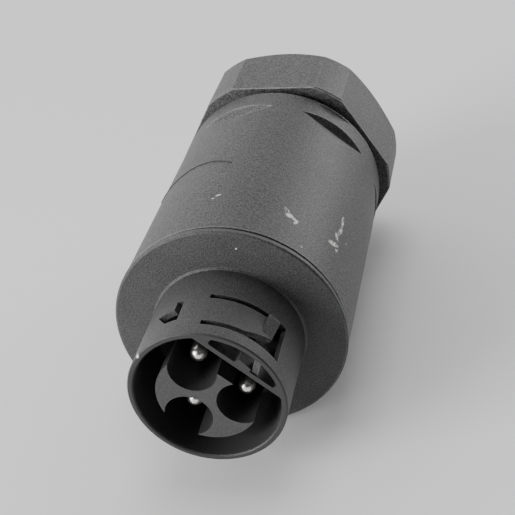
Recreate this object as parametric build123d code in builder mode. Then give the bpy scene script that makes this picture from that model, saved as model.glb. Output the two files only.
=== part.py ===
from build123d import *
from math import cos, radians, sin
import os

# Inline connector for an AC cable, male side. It lies on its flange and on one flat of its gland nut.
# The axis runs along +Y. Stations are measured from the sleeve's front rim towards the rear, in mm.
# Clock angles are measured about the axis from +Z towards +X, in degrees.

# Outline radius that the flange, the rear housing and the nut's flats share
BODY_R = 18.0

# Fits: sliding clearance, and how far a cutter runs past the surface that it cuts
SLIDE_FIT = 0.05
CUT_CLEAR = 1.0

# Mating sleeve
SLEEVE_R = 11.6
SLEEVE_WALL = 0.9
SLEEVE_LENGTH = 15.5
RIM_CHAMFER = 0.2
ROOT_CHAMFER = 0.3

# Flange, and the collar that screws into the rear housing
FLANGE_THICKNESS = 0.9
FLANGE_CHAMFER = 0.3
COLLAR_FIT = 0.1
COLLAR_WALL = 2.85
COLLAR_LENGTH = 8.2

# Key wall: a flat wall across the sleeve, with a pocket between it and the sleeve
KEY_CLOCK = 42.0
KEY_WALL_INNER = 7.6
KEY_WALL_THICKNESS = 0.7
KEY_WALL_SETBACK = 0.2
KEY_WALL_CORNER_R = 0.8
POCKET_FROM = -5.5
POCKET_TO = 5.8
POCKET_CORNER_R = 0.4

# Pad and leaning web in the pocket: offsets across the wall, heights above it and lengths
KEY_PAD_FROM = -0.95
KEY_PAD_TOP_FROM = -0.7
KEY_PAD_TO = 1.6
KEY_PAD_HEIGHT = 0.85
KEY_PAD_LOW_HEIGHT = 0.5
KEY_PAD_LENGTH = 4.0
WEB_FROM = 1.95
WEB_WIDTH = 1.05
WEB_LEAN = 1.15
WEB_SETBACK = 0.5
WEB_LENGTH = 1.5

# Latch tongue, cut free from the sleeve by two slits and a window
LATCH_ROOT_CLOCK = 1.0
LATCH_END_CLOCK = 53.0
LATCH_FRONT = 3.2
LATCH_BACK = 8.3
SLIT_WIDTH = 0.95
WINDOW_END_CLOCK = 63.0
WINDOW_BACK = 9.6
LATCH_TAPER_CLOCK = 32.0
LATCH_TAPER = 1.8
LATCH_HEAD_ARC = 9.0
LATCH_HEAD_HEIGHT = 0.85
LATCH_RAMP = 3.2
LATCH_NOSE_ARC = 7.0
LATCH_NOSE_DEPTH = 1.9
SIDE_WINDOW_CLOCK = -28.0
SIDE_WINDOW_FRONT = 3.8
SIDE_WINDOW_STEP = 6.5
SIDE_WINDOW_BACK = 8.4
SIDE_WINDOW_LEFT = 2.2
SIDE_WINDOW_RIGHT = 2.1
SIDE_WINDOW_NECK = 0.9

# Contact insert
CONTACT_CLOCKS = {"earth": -18.0, "line": 102.0, "neutral": 222.0}
CONTACT_CIRCLE_R = 4.9
INSERT_R = 7.55
INSERT_SETBACK = 0.5
WELL_R = 3.58
KEY_ARM_REACH = 4.6
SOCKET_DEPTH = 13.0
INSERT_BASE_LENGTH = 4.0
INSERT_FLANGE_THICKNESS = 2.5

# Ring seals: section radius, groove depth and groove width
SEAL_SECTION_R = 0.6
SEAL_GROOVE_DEPTH = 1.15
SEAL_GROOVE_WIDTH = 1.5
SEAL_GAP = 0.03

# Contacts with their screw barrels
PIN_R = 1.25
PIN_TIP_STATION = 3.4
BARREL_R = 3.0
BARREL_LENGTH = 12.0
WIRE_HOLE_R = 1.5
WIRE_HOLE_DEPTH = 8.5
SCREW_FROM_END = 4.0
SCREW_R = 1.2
SCREW_HEAD_R = 1.9
SCREW_HEAD_HEIGHT = 1.8
SCREW_SLOT_WIDTH = 0.5
SCREW_SLOT_DEPTH = 0.8
PLATE_LENGTH = 5.0
PLATE_WIDTH = 2.1
PLATE_THICKNESS = 0.4
PLATE_OFFSET = 0.3

# Terminal carrier, its clip and the wire guide
CARRIER_RIM_STEP = 1.1
CARRIER_LENGTH = 13.5
CARRIER_RIM_LENGTH = 2.6
SCREW_ACCESS_R = 2.2
CLIP_THICKNESS = 1.0
CLIP_GROOVE_DEPTH = 0.8
CLIP_GAP_ARC = 40.0
GUIDE_THICKNESS = 2.5
GUIDE_HOLE_R = 2.2

# Rear housing
HOUSING_GAP = 0.4
HOUSING_STEP = 0.1
HOUSING_TAPER = 0.1
HOUSING_LENGTH = 44.1
HOUSING_WALL = 2.3
HOUSING_EDGE = 0.25
NECK_R = 9.6
NECK_SETBACK = 3.9
NECK_LENGTH = 2.0
NECK_TAPER_LENGTH = 9.0
CAGE_BORE_R = 12.2
THREAD_R = 14.4
THREAD_SETBACK = 0.6
THREAD_CHAMFER = 0.5

# Wrench scoops round the rear housing, and shallow thumb flats behind every second one
SCOOP_COUNT = 6
SCOOP_CLOCK = -18.0
SCOOP_SETBACK = 4.4
SCOOP_LENGTH = 5.5
SCOOP_RISE = 0.8
SCOOP_DEPTH = 1.25
THUMB_COUNT = 3
THUMB_CLOCK = 38.0
THUMB_SETBACK = 0.4
THUMB_LENGTH = 3.4
THUMB_RISE = 0.2
THUMB_DEPTH = 0.4

# Cable gland
NUT_GAP = 1.3
NUT_LENGTH = 17.0
NUT_CORNER_RISE = 1.5
NUT_BEVEL_LENGTH = 2.2
NUT_DOME_LENGTH = 2.2
NUT_SHOULDER_DROP = 0.3
NUT_DOME_R = 8.9
NUT_FACE_R = 11.6
NUT_THREAD_FIT = 0.05
NUT_THREAD_RELIEF = 0.9
NUT_CONE_LENGTH = 5.1
NUT_CONE_START_R = 12.9
NUT_CONE_LIP = 0.4
NUT_CONE_END_R = 9.4
CABLE_HOLE_R = 8.0
CABLE_HOLE_LENGTH = 2.2
CAGE_WALL = 1.5
CAGE_FINGERS = 8
CAGE_SLOT_WIDTH = 1.4
CAGE_RING_LENGTH = 4.0
CAGE_TIP_FIT = 0.1
CAGE_TIP_DROP = 0.9
CAGE_SEAT_FIT = 0.1
BUSH_BORE_R = 6.2
BUSH_SETBACK = 1.0
BUSH_RIB_COUNT = 4
BUSH_RIB_DEPTH = 0.5

# Derived stations and radii
FLANGE_R = BODY_R
HOUSING_FRONT_R = BODY_R - HOUSING_STEP
HOUSING_REAR_R = HOUSING_FRONT_R - HOUSING_TAPER
HOUSING_BORE_R = HOUSING_REAR_R - HOUSING_WALL
COLLAR_R = HOUSING_BORE_R - COLLAR_FIT
NUT_CORNER_R = BODY_R + NUT_CORNER_RISE
NUT_SHOULDER_R = BODY_R - NUT_SHOULDER_DROP
SLEEVE_BORE_R = SLEEVE_R - SLEEVE_WALL
FLANGE_BACK = SLEEVE_LENGTH + FLANGE_THICKNESS
COLLAR_END = FLANGE_BACK + COLLAR_LENGTH
BASE_BACK = SOCKET_DEPTH + INSERT_BASE_LENGTH
INSERT_BACK = BASE_BACK + INSERT_FLANGE_THICKNESS
INSERT_SEAT_R = COLLAR_R - COLLAR_WALL
INSERT_FLANGE_R = INSERT_SEAT_R - SLIDE_FIT
CARRIER_R = INSERT_FLANGE_R - CARRIER_RIM_STEP
BARREL_FRONT = INSERT_BACK + SLIDE_FIT
BARREL_BACK = BARREL_FRONT + BARREL_LENGTH
SCREW_STATION = BARREL_BACK - SCREW_FROM_END
CARRIER_FRONT = INSERT_BACK + SLIDE_FIT
CLIP_FRONT = CARRIER_FRONT + CARRIER_RIM_LENGTH + SLIDE_FIT
CARRIER_BACK = CARRIER_FRONT + CARRIER_LENGTH
GUIDE_FRONT = CARRIER_BACK + SLIDE_FIT
HOUSING_START = FLANGE_BACK + HOUSING_GAP
HOUSING_END = HOUSING_START + HOUSING_LENGTH
NECK_END = HOUSING_END - NECK_SETBACK
NECK_START = NECK_END - NECK_LENGTH
HOUSING_BORE_END = NECK_START - NECK_TAPER_LENGTH
SCOOP_END = HOUSING_END - SCOOP_SETBACK
THUMB_END = HOUSING_END - THUMB_SETBACK
NUT_FRONT = HOUSING_END + NUT_GAP
NUT_END = NUT_FRONT + NUT_LENGTH
NUT_SHOULDER = NUT_END - NUT_DOME_LENGTH
NUT_PRISM_END = NUT_SHOULDER - NUT_BEVEL_LENGTH
CABLE_HOLE_START = NUT_END - CABLE_HOLE_LENGTH
NUT_CONE_END = CABLE_HOLE_START - NUT_CONE_LIP
NUT_CONE_START = NUT_CONE_END - NUT_CONE_LENGTH
NUT_THREAD_END = NUT_CONE_START - NUT_THREAD_RELIEF
THREAD_END = NUT_THREAD_END - THREAD_SETBACK
NUT_THREAD_R = THREAD_R + NUT_THREAD_FIT
CAGE_R = CAGE_BORE_R - CAGE_SEAT_FIT
CAGE_BORE = CAGE_R - CAGE_WALL
CAGE_START = NECK_END + CAGE_SEAT_FIT
CONE_SLOPE = (NUT_CONE_START_R - NUT_CONE_END_R) / NUT_CONE_LENGTH
CAGE_TAPER_START = NUT_CONE_START + (NUT_CONE_START_R - CAGE_TIP_FIT - CAGE_R) / CONE_SLOPE
CAGE_END = CAGE_TAPER_START + CAGE_TIP_DROP / CONE_SLOPE
BUSH_START = CAGE_START + BUSH_SETBACK
BUSH_END = CAGE_END - BUSH_SETBACK / 2
LENGTH = NUT_END
AXIS_HEIGHT = BODY_R
AXIS = Axis((0, 0, AXIS_HEIGHT), (0, 1, 0))


def front_view(station, clock=0.0):
    """Plane across the axis at a station, seen from the front, with its own up at a clock angle."""
    turn = radians(clock)
    centre = (0, station - LENGTH / 2, AXIS_HEIGHT)
    return Plane(origin=centre, x_dir=(cos(turn), 0, -sin(turn)), z_dir=(0, -1, 0))


def side_view(clock=0.0):
    """Plane through the axis at a clock angle: x is the station, y the radius."""
    turn = radians(clock)
    return Plane(origin=(0, -LENGTH / 2, AXIS_HEIGHT), x_dir=(0, 1, 0), z_dir=(cos(turn), 0, -sin(turn)))


def outer_view(clock, radius):
    """Plane facing outwards at a clock angle and radius: x is the station, y runs anticlockwise."""
    turn = radians(clock)
    centre = (radius * sin(turn), -LENGTH / 2, AXIS_HEIGHT + radius * cos(turn))
    return Plane(origin=centre, x_dir=(0, 1, 0), z_dir=(sin(turn), 0, cos(turn)))


def turned(points, mode=Mode.ADD, clock=0.0, arc=360.0):
    """Turn an outline of (station, radius) points about the axis, over an arc from a clock angle."""
    with BuildSketch(side_view(clock)) as outline:
        with BuildLine():
            Polyline(*points, close=True)
        make_face()
    revolve(outline.sketch, axis=AXIS, revolution_arc=arc, mode=mode)


def band(start, end, inner, outer):
    """Corners of a rectangle in station and radius."""
    return [(start, inner), (end, inner), (end, outer), (start, outer)]


def hollow(radius, end, length, rise, depth, clock):
    """Cut a hollow across the outside: it starts level, sinks along an arc and ends in a steep rise."""
    start = end - length
    base = end - rise
    arc_r = ((base - start) ** 2 + depth**2) / (2 * depth)
    with BuildSketch(side_view(clock)) as outline:
        with BuildLine():
            RadiusArc((start, radius), (base, radius - depth), arc_r)
            Polyline(
                (base, radius - depth),
                (end, radius),
                (end, radius + CUT_CLEAR),
                (start, radius + CUT_CLEAR),
                (start, radius),
            )
        make_face()
    extrude(outline.sketch, amount=radius / 2, both=True, mode=Mode.SUBTRACT)


os.makedirs("parts", exist_ok=True)

# Front housing: sleeve, flange and collar
with BuildPart() as front_housing:
    turned(
        [
            (0, SLEEVE_BORE_R + RIM_CHAMFER),
            (0, SLEEVE_R - RIM_CHAMFER),
            (RIM_CHAMFER, SLEEVE_R),
            (SLEEVE_LENGTH - ROOT_CHAMFER, SLEEVE_R),
            (SLEEVE_LENGTH, SLEEVE_R + ROOT_CHAMFER),
            (SLEEVE_LENGTH, FLANGE_R - FLANGE_CHAMFER),
            (SLEEVE_LENGTH + FLANGE_CHAMFER, FLANGE_R),
            (FLANGE_BACK, FLANGE_R),
            (FLANGE_BACK, COLLAR_R),
            (COLLAR_END, COLLAR_R),
            (COLLAR_END, INSERT_SEAT_R),
            (BASE_BACK, INSERT_SEAT_R),
            (BASE_BACK, SLEEVE_BORE_R),
            (RIM_CHAMFER, SLEEVE_BORE_R),
        ]
    )
    # Groove for the ring seal to the rear housing, and groove for the clip
    HOUSING_SEAL_STATION = HOUSING_START + SEAL_GROOVE_WIDTH
    turned(
        band(
            HOUSING_SEAL_STATION - SEAL_GROOVE_WIDTH / 2,
            HOUSING_SEAL_STATION + SEAL_GROOVE_WIDTH / 2,
            COLLAR_R - SEAL_GROOVE_DEPTH,
            COLLAR_R + CUT_CLEAR,
        ),
        mode=Mode.SUBTRACT,
    )
    turned(
        band(
            CLIP_FRONT - SLIDE_FIT,
            CLIP_FRONT + CLIP_THICKNESS + SLIDE_FIT,
            INSERT_SEAT_R - CUT_CLEAR,
            INSERT_SEAT_R + CLIP_GROOVE_DEPTH,
        ),
        mode=Mode.SUBTRACT,
    )
    # Key wall across the bore: the sleeve's disc, less the open bore below and the pocket above
    KEY_WALL_OUTER = KEY_WALL_INNER + KEY_WALL_THICKNESS
    with BuildSketch(mode=Mode.PRIVATE) as open_bore:
        Circle(SLEEVE_BORE_R)
        with Locations((0, KEY_WALL_INNER - SLEEVE_R)):
            Rectangle(2 * SLEEVE_R, 2 * SLEEVE_R, mode=Mode.INTERSECT)
        fillet(open_bore.vertices(), KEY_WALL_CORNER_R)
    with BuildSketch(mode=Mode.PRIVATE) as pocket:
        Circle(SLEEVE_BORE_R)
        with Locations(((POCKET_FROM + POCKET_TO) / 2, KEY_WALL_OUTER + SLEEVE_R / 2)):
            Rectangle(POCKET_TO - POCKET_FROM, SLEEVE_R, mode=Mode.INTERSECT)
        fillet(pocket.vertices(), POCKET_CORNER_R)
    with BuildSketch(front_view(KEY_WALL_SETBACK, KEY_CLOCK)):
        Circle(SLEEVE_R - SLEEVE_WALL / 2)
        add(open_bore.sketch_local, mode=Mode.SUBTRACT)
        add(pocket.sketch_local, mode=Mode.SUBTRACT)
    extrude(amount=KEY_WALL_SETBACK - SOCKET_DEPTH)
    with BuildSketch(front_view(KEY_WALL_SETBACK, KEY_CLOCK)):
        with BuildLine():
            Polyline(
                (KEY_PAD_FROM, KEY_WALL_OUTER - SLIDE_FIT),
                (KEY_PAD_TOP_FROM, KEY_WALL_OUTER + KEY_PAD_HEIGHT),
                (KEY_PAD_TO, KEY_WALL_OUTER + KEY_PAD_LOW_HEIGHT),
                (KEY_PAD_TO, KEY_WALL_OUTER - SLIDE_FIT),
                close=True,
            )
        make_face()
    extrude(amount=-KEY_PAD_LENGTH)
    with BuildSketch(front_view(WEB_SETBACK, KEY_CLOCK)):
        with BuildLine():
            Polyline(
                (WEB_FROM, KEY_WALL_OUTER - SLIDE_FIT),
                (WEB_FROM - WEB_LEAN, SLEEVE_R - SLEEVE_WALL / 2),
                (WEB_FROM - WEB_LEAN + WEB_WIDTH, SLEEVE_R - SLEEVE_WALL / 2),
                (WEB_FROM + WEB_WIDTH, KEY_WALL_OUTER - SLIDE_FIT),
                close=True,
            )
        make_face()
    extrude(amount=-WEB_LENGTH)
    # Latch tongue: front slit, back slit, end window and tapered corner
    CUT_IN = SLEEVE_BORE_R - SLIDE_FIT
    CUT_OUT = SLEEVE_R + CUT_CLEAR
    turned(
        band(LATCH_FRONT - SLIT_WIDTH, LATCH_FRONT, CUT_IN, CUT_OUT),
        mode=Mode.SUBTRACT,
        clock=LATCH_ROOT_CLOCK,
        arc=WINDOW_END_CLOCK - LATCH_ROOT_CLOCK,
    )
    turned(
        band(LATCH_BACK, LATCH_BACK + SLIT_WIDTH, CUT_IN, CUT_OUT),
        mode=Mode.SUBTRACT,
        clock=LATCH_ROOT_CLOCK,
        arc=WINDOW_END_CLOCK - LATCH_ROOT_CLOCK,
    )
    turned(
        band(LATCH_FRONT - SLIT_WIDTH, WINDOW_BACK, CUT_IN, CUT_OUT),
        mode=Mode.SUBTRACT,
        clock=LATCH_END_CLOCK,
        arc=WINDOW_END_CLOCK - LATCH_END_CLOCK,
    )
    TAPER_SPAN = radians(LATCH_END_CLOCK - LATCH_TAPER_CLOCK)
    TAPER_RUN = SLEEVE_R * sin(TAPER_SPAN)
    with BuildSketch(outer_view(LATCH_TAPER_CLOCK, CUT_IN * cos(TAPER_SPAN))):
        with BuildLine():
            Polyline(
                (LATCH_FRONT - SLIT_WIDTH / 2, 0),
                (LATCH_FRONT, 0),
                (LATCH_FRONT + LATCH_TAPER, -TAPER_RUN),
                (LATCH_FRONT - SLIT_WIDTH / 2, -TAPER_RUN),
                close=True,
            )
        make_face()
    extrude(amount=SLEEVE_R, mode=Mode.SUBTRACT)
    # Side window, with a corner of the sleeve left standing in it
    with BuildSketch(outer_view(SIDE_WINDOW_CLOCK, SLEEVE_BORE_R - CUT_CLEAR)):
        with BuildLine():
            Polyline(
                (SIDE_WINDOW_FRONT, 0),
                (SIDE_WINDOW_STEP, SIDE_WINDOW_LEFT),
                (SIDE_WINDOW_STEP, -SIDE_WINDOW_NECK),
                (SIDE_WINDOW_BACK, -SIDE_WINDOW_NECK),
                (SIDE_WINDOW_BACK, -SIDE_WINDOW_RIGHT),
                (SIDE_WINDOW_FRONT, -SIDE_WINDOW_RIGHT),
                close=True,
            )
        make_face()
    extrude(amount=SLEEVE_R, mode=Mode.SUBTRACT)
    # Latch head: a ramp that stands out of the sleeve, and a nose that reaches in towards the key wall
    turned(
        [
            (LATCH_BACK - LATCH_RAMP - SLIT_WIDTH / 2, SLEEVE_R - SLEEVE_WALL / 2),
            (LATCH_BACK, SLEEVE_R - SLEEVE_WALL / 2),
            (LATCH_BACK, SLEEVE_R + LATCH_HEAD_HEIGHT),
            (LATCH_BACK - SLIT_WIDTH / 2, SLEEVE_R + LATCH_HEAD_HEIGHT),
            (LATCH_BACK - LATCH_RAMP, SLEEVE_R),
        ],
        clock=LATCH_END_CLOCK - LATCH_HEAD_ARC,
        arc=LATCH_HEAD_ARC,
    )
    turned(
        band(
            LATCH_BACK - LATCH_RAMP,
            LATCH_BACK,
            SLEEVE_BORE_R - LATCH_NOSE_DEPTH,
            SLEEVE_R - SLEEVE_WALL / 2,
        ),
        clock=LATCH_END_CLOCK - LATCH_NOSE_ARC,
        arc=LATCH_NOSE_ARC,
    )
front_housing.part.label = "front_housing"
export_step(front_housing.part, f"parts/{front_housing.part.label}.step")

# Contact insert: three arms between the wells, on a round base
INSERT_SEAL_STATION = SOCKET_DEPTH + INSERT_BASE_LENGTH / 2
with BuildPart() as contact_insert:
    with BuildSketch(front_view(INSERT_SETBACK, KEY_CLOCK)):
        Circle(INSERT_R)
        for clock in CONTACT_CLOCKS.values():
            turn = radians(clock - KEY_CLOCK)
            with Locations((CONTACT_CIRCLE_R * sin(turn), CONTACT_CIRCLE_R * cos(turn))):
                Circle(WELL_R, mode=Mode.SUBTRACT)
        with Locations((0, KEY_ARM_REACH + INSERT_R / 2)):
            Rectangle(2 * INSERT_R, INSERT_R, mode=Mode.SUBTRACT)
    extrude(amount=INSERT_SETBACK - SOCKET_DEPTH - SLIDE_FIT)
    turned(band(SOCKET_DEPTH, BASE_BACK, 0, SLEEVE_BORE_R - SLIDE_FIT))
    turned(band(BASE_BACK + SLIDE_FIT, INSERT_BACK, 0, INSERT_FLANGE_R))
    turned(band(BASE_BACK - SLIDE_FIT, BASE_BACK + 2 * SLIDE_FIT, 0, SLEEVE_BORE_R - SLIDE_FIT))
    turned(
        band(
            INSERT_SEAL_STATION - SEAL_GROOVE_WIDTH / 2,
            INSERT_SEAL_STATION + SEAL_GROOVE_WIDTH / 2,
            SLEEVE_BORE_R - SLIDE_FIT - SEAL_GROOVE_DEPTH,
            SLEEVE_BORE_R,
        ),
        mode=Mode.SUBTRACT,
    )
    for clock in CONTACT_CLOCKS.values():
        with BuildSketch(front_view(SOCKET_DEPTH - CUT_CLEAR, clock)):
            with Locations((0, CONTACT_CIRCLE_R)):
                Circle(PIN_R + SLIDE_FIT)
        extrude(amount=SOCKET_DEPTH - 2 * CUT_CLEAR - INSERT_BACK, mode=Mode.SUBTRACT)
contact_insert.part.label = "contact_insert"
export_step(contact_insert.part, f"parts/{contact_insert.part.label}.step")

# Ring seals
with BuildPart() as insert_seal:
    INSERT_SEAL_RING_R = SLEEVE_BORE_R - SEAL_SECTION_R - SEAL_GAP
    with BuildSketch(side_view()):
        with Locations((INSERT_SEAL_STATION, INSERT_SEAL_RING_R)):
            Circle(SEAL_SECTION_R - SEAL_GAP)
    revolve(axis=AXIS)
insert_seal.part.label = "insert_seal"
export_step(insert_seal.part, f"parts/{insert_seal.part.label}.step")

with BuildPart() as housing_seal:
    HOUSING_SEAL_RING_R = HOUSING_BORE_R - SEAL_SECTION_R - SEAL_GAP
    with BuildSketch(side_view()):
        with Locations((HOUSING_SEAL_STATION, HOUSING_SEAL_RING_R)):
            Circle(SEAL_SECTION_R - SEAL_GAP)
    revolve(axis=AXIS)
housing_seal.part.label = "housing_seal"
export_step(housing_seal.part, f"parts/{housing_seal.part.label}.step")

# Contacts, with their clamp plates and screws
for pole, clock in CONTACT_CLOCKS.items():
    turn = radians(clock)
    centre = Vector(
        CONTACT_CIRCLE_R * sin(turn),
        -LENGTH / 2,
        AXIS_HEIGHT + CONTACT_CIRCLE_R * cos(turn),
    )
    contact_axis = Axis(centre, (0, 1, 0))
    contact_side = Plane(origin=centre, x_dir=(0, 1, 0), z_dir=(cos(turn), 0, -sin(turn)))
    screw_face = outer_view(clock, CONTACT_CIRCLE_R)

    with BuildPart() as contact:
        with BuildSketch(contact_side):
            with BuildLine():
                Polyline(
                    (PIN_TIP_STATION + PIN_R, PIN_R),
                    (BARREL_FRONT, PIN_R),
                    (BARREL_FRONT, BARREL_R),
                    (BARREL_BACK, BARREL_R),
                    (BARREL_BACK, WIRE_HOLE_R),
                    (BARREL_BACK - WIRE_HOLE_DEPTH, WIRE_HOLE_R),
                    (BARREL_BACK - WIRE_HOLE_DEPTH, 0),
                    (PIN_TIP_STATION, 0),
                )
                RadiusArc((PIN_TIP_STATION, 0), (PIN_TIP_STATION + PIN_R, PIN_R), PIN_R)
            make_face()
        revolve(axis=contact_axis)
        with BuildSketch(screw_face):
            with Locations((SCREW_STATION, 0)):
                Circle(SCREW_R + SLIDE_FIT)
        extrude(amount=2 * BARREL_R, mode=Mode.SUBTRACT)
    contact.part.label = f"contact_{pole}"
    export_step(contact.part, f"parts/{contact.part.label}.step")

    with BuildPart() as clamp_plate:
        with BuildSketch(screw_face.offset(PLATE_OFFSET)):
            with Locations((SCREW_STATION, 0)):
                Rectangle(PLATE_LENGTH, PLATE_WIDTH)
        extrude(amount=PLATE_THICKNESS)
    clamp_plate.part.label = f"clamp_plate_{pole}"
    export_step(clamp_plate.part, f"parts/{clamp_plate.part.label}.step")

    with BuildPart() as terminal_screw:
        SHANK_START = PLATE_OFFSET + PLATE_THICKNESS + SLIDE_FIT
        SHANK_LENGTH = BARREL_R + SLIDE_FIT - SHANK_START
        with BuildSketch(screw_face.offset(SHANK_START)):
            with Locations((SCREW_STATION, 0)):
                Circle(SCREW_R)
        extrude(amount=SHANK_LENGTH)
        with BuildSketch(screw_face.offset(SHANK_START + SHANK_LENGTH)):
            with Locations((SCREW_STATION, 0)):
                Circle(SCREW_HEAD_R)
        extrude(amount=SCREW_HEAD_HEIGHT)
        with BuildSketch(screw_face.offset(SHANK_START + SHANK_LENGTH + SCREW_HEAD_HEIGHT)):
            with Locations((SCREW_STATION, 0)):
                Rectangle(3 * SCREW_HEAD_R, SCREW_SLOT_WIDTH)
        extrude(amount=-SCREW_SLOT_DEPTH, mode=Mode.SUBTRACT)
    terminal_screw.part.label = f"terminal_screw_{pole}"
    export_step(terminal_screw.part, f"parts/{terminal_screw.part.label}.step")

# Terminal carrier: an insulating block with a bore for each barrel and a way in for each screw
with BuildPart() as terminal_carrier:
    turned(
        [
            (CARRIER_FRONT, 0),
            (CARRIER_FRONT, INSERT_FLANGE_R),
            (CARRIER_FRONT + CARRIER_RIM_LENGTH, INSERT_FLANGE_R),
            (CARRIER_FRONT + CARRIER_RIM_LENGTH, CARRIER_R),
            (CARRIER_BACK, CARRIER_R),
            (CARRIER_BACK, 0),
        ]
    )
    for clock in CONTACT_CLOCKS.values():
        with BuildSketch(front_view(CARRIER_FRONT, clock)):
            with Locations((0, CONTACT_CIRCLE_R)):
                Circle(BARREL_R + SLIDE_FIT)
        extrude(amount=-CARRIER_LENGTH, mode=Mode.SUBTRACT)
        with BuildSketch(outer_view(clock, CONTACT_CIRCLE_R)):
            with Locations((SCREW_STATION, 0)):
                Circle(SCREW_ACCESS_R)
        extrude(amount=CARRIER_R, mode=Mode.SUBTRACT)
terminal_carrier.part.label = "terminal_carrier"
export_step(terminal_carrier.part, f"parts/{terminal_carrier.part.label}.step")

with BuildPart() as insert_clip:
    turned(
        band(
            CLIP_FRONT,
            CLIP_FRONT + CLIP_THICKNESS,
            CARRIER_R + SLIDE_FIT,
            INSERT_SEAT_R + CLIP_GROOVE_DEPTH - SLIDE_FIT,
        ),
        clock=180 + CLIP_GAP_ARC / 2,
        arc=360 - CLIP_GAP_ARC,
    )
insert_clip.part.label = "insert_clip"
export_step(insert_clip.part, f"parts/{insert_clip.part.label}.step")

with BuildPart() as wire_guide:
    turned(band(GUIDE_FRONT, GUIDE_FRONT + GUIDE_THICKNESS, 0, CARRIER_R))
    for clock in CONTACT_CLOCKS.values():
        with BuildSketch(front_view(GUIDE_FRONT, clock)):
            with Locations((0, CONTACT_CIRCLE_R)):
                Circle(GUIDE_HOLE_R)
        extrude(amount=-GUIDE_THICKNESS, mode=Mode.SUBTRACT)
wire_guide.part.label = "wire_guide"
export_step(wire_guide.part, f"parts/{wire_guide.part.label}.step")

# Rear housing, with the gland's male thread at its rear end
with BuildPart() as rear_housing:
    turned(
        [
            (HOUSING_START, HOUSING_BORE_R),
            (HOUSING_START, HOUSING_FRONT_R - HOUSING_EDGE),
            (HOUSING_START + HOUSING_EDGE, HOUSING_FRONT_R),
            (HOUSING_END - HOUSING_EDGE, HOUSING_REAR_R),
            (HOUSING_END, HOUSING_REAR_R - HOUSING_EDGE),
            (HOUSING_END, THREAD_R),
            (THREAD_END - THREAD_CHAMFER, THREAD_R),
            (THREAD_END, THREAD_R - THREAD_CHAMFER),
            (THREAD_END, CAGE_BORE_R),
            (NECK_END, CAGE_BORE_R),
            (NECK_END, NECK_R),
            (NECK_START, NECK_R),
            (HOUSING_BORE_END, HOUSING_BORE_R),
        ]
    )
    for i in range(SCOOP_COUNT):
        scoop_clock = SCOOP_CLOCK + 360 * i / SCOOP_COUNT
        hollow(HOUSING_REAR_R, SCOOP_END, SCOOP_LENGTH, SCOOP_RISE, SCOOP_DEPTH, scoop_clock)
    for i in range(THUMB_COUNT):
        thumb_clock = THUMB_CLOCK + 360 * i / THUMB_COUNT
        hollow(HOUSING_REAR_R, THUMB_END, THUMB_LENGTH, THUMB_RISE, THUMB_DEPTH, thumb_clock)
rear_housing.part.label = "rear_housing"
export_step(rear_housing.part, f"parts/{rear_housing.part.label}.step")

# Clamping cage: a ring with fingers that the nut bends inwards
with BuildPart() as clamping_cage:
    turned(
        [
            (CAGE_START, CAGE_BORE),
            (CAGE_START, CAGE_R),
            (CAGE_TAPER_START, CAGE_R),
            (CAGE_END, CAGE_R - CAGE_TIP_DROP),
            (CAGE_END, CAGE_BORE),
        ]
    )
    for i in range(CAGE_FINGERS):
        with BuildSketch(side_view(360 * i / CAGE_FINGERS)):
            with Locations((CAGE_START + CAGE_RING_LENGTH, CAGE_R)):
                Rectangle(CAGE_END - CAGE_START, CAGE_R, align=(Align.MIN, Align.CENTER))
        extrude(amount=CAGE_SLOT_WIDTH / 2, both=True, mode=Mode.SUBTRACT)
clamping_cage.part.label = "clamping_cage"
export_step(clamping_cage.part, f"parts/{clamping_cage.part.label}.step")

# Rubber bush with ribs in its bore
with BuildPart() as cable_seal:
    turned(band(BUSH_START, BUSH_END, BUSH_BORE_R, CAGE_BORE - SLIDE_FIT))
    RIB_PITCH = (BUSH_END - BUSH_START) / (BUSH_RIB_COUNT + 1)
    for i in range(BUSH_RIB_COUNT):
        RIB_STATION = BUSH_START + RIB_PITCH * (i + 1)
        turned(
            [
                (RIB_STATION - RIB_PITCH / 4, BUSH_BORE_R - CUT_CLEAR),
                (RIB_STATION - RIB_PITCH / 4, BUSH_BORE_R),
                (RIB_STATION, BUSH_BORE_R + BUSH_RIB_DEPTH),
                (RIB_STATION + RIB_PITCH / 4, BUSH_BORE_R),
                (RIB_STATION + RIB_PITCH / 4, BUSH_BORE_R - CUT_CLEAR),
            ],
            mode=Mode.SUBTRACT,
        )
cable_seal.part.label = "cable_seal"
export_step(cable_seal.part, f"parts/{cable_seal.part.label}.step")

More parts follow.
